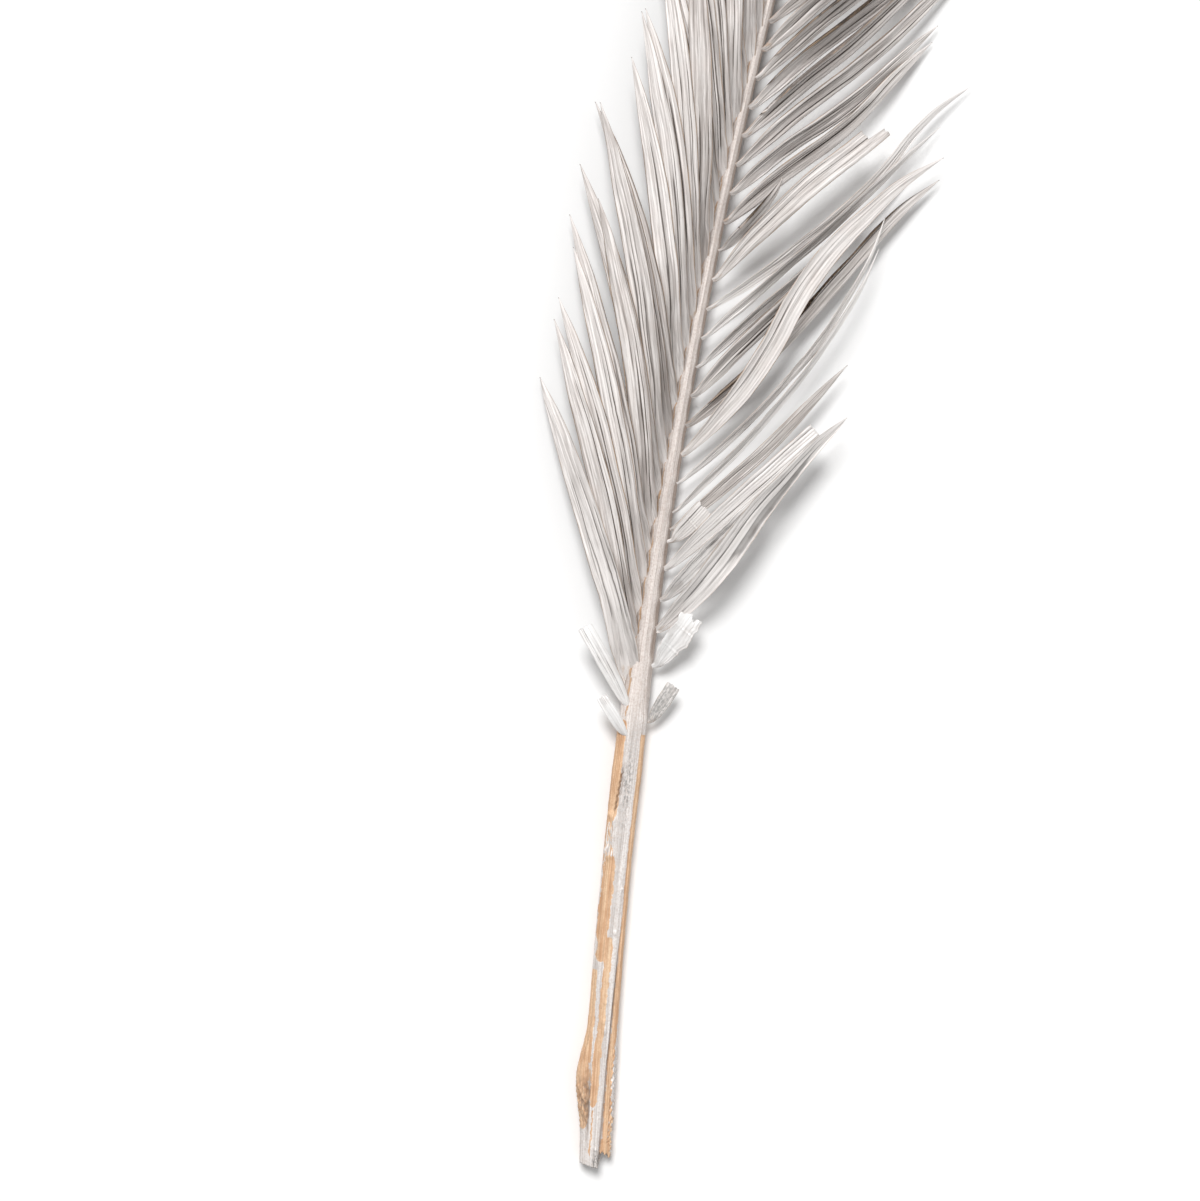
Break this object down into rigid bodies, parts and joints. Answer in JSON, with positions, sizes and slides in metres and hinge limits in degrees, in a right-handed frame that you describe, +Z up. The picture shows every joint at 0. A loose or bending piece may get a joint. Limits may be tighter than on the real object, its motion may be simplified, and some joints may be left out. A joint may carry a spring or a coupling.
{
  "type": "dried date palm frond",
  "caption": "Dried, silver-painted feather palm frond lying flat: a tapering bare stalk with narrow folded leaflets in two rows, for a dried arrangement.",
  "frame": {"origin": "middle of the frond's box seen from above, on the surface it lies on", "axes": "+Y from the cut end to the tip, +X to the frond's right seen face up, +Z up"},
  "size_m": [0.1352, 0.6666, 0.028],
  "materials": {
    "painted_leaflet": "dry ribbed leaf under a thin satin coat of silver-grey paint, rubbed to tan along the edges",
    "painted_stalk": "dry fibrous stalk, silver-grey paint worn and flaked to bare tan wood along its length"
  },
  "bodies": {
    "root": {"stalk": "painted_stalk", "leaflet_left_01": "painted_leaflet", "leaflet_left_02": "painted_leaflet", "leaflet_left_03": "painted_leaflet", "leaflet_left_04": "painted_leaflet", "leaflet_left_05": "painted_leaflet", "leaflet_left_06": "painted_leaflet", "leaflet_left_07": "painted_leaflet", "leaflet_left_08": "painted_leaflet", "leaflet_left_09": "painted_leaflet", "leaflet_left_10": "painted_leaflet", "leaflet_left_11": "painted_leaflet", "leaflet_left_12": "painted_leaflet", "leaflet_left_13": "painted_leaflet", "leaflet_left_14": "painted_leaflet", "leaflet_left_15": "painted_leaflet", "leaflet_left_16": "painted_leaflet", "leaflet_left_17": "painted_leaflet", "leaflet_left_18": "painted_leaflet", "leaflet_left_19": "painted_leaflet", "leaflet_left_20": "painted_leaflet", "leaflet_left_21": "painted_leaflet", "leaflet_left_22": "painted_leaflet", "leaflet_left_23": "painted_leaflet", "leaflet_left_24": "painted_leaflet", "leaflet_left_25": "painted_leaflet", "leaflet_left_26": "painted_leaflet", "leaflet_left_27": "painted_leaflet", "leaflet_left_28": "painted_leaflet", "tip_leaflets_left": "painted_leaflet", "leaflet_right_01": "painted_leaflet", "leaflet_right_02": "painted_leaflet", "leaflet_right_03": "painted_leaflet", "leaflet_right_04": "painted_leaflet", "leaflet_right_05": "painted_leaflet", "leaflet_right_06": "painted_leaflet", "leaflet_right_07": "painted_leaflet", "leaflet_right_08": "painted_leaflet", "leaflet_right_09": "painted_leaflet", "leaflet_right_10": "painted_leaflet", "leaflet_right_11": "painted_leaflet", "leaflet_right_12": "painted_leaflet", "leaflet_right_13": "painted_leaflet", "leaflet_right_14": "painted_leaflet", "leaflet_right_15": "painted_leaflet", "leaflet_right_16": "painted_leaflet", "leaflet_right_17": "painted_leaflet", "leaflet_right_18": "painted_leaflet", "leaflet_right_19": "painted_leaflet", "leaflet_right_20": "painted_leaflet", "leaflet_right_21": "painted_leaflet", "leaflet_right_22": "painted_leaflet", "leaflet_right_23": "painted_leaflet", "leaflet_right_24": "painted_leaflet", "leaflet_right_25": "painted_leaflet", "leaflet_right_26": "painted_leaflet", "leaflet_right_27": "painted_leaflet", "leaflet_right_28": "painted_leaflet", "tip_leaflets_right": "painted_leaflet", "leaflet_terminal": "painted_leaflet"}
  },
  "joints": []
}
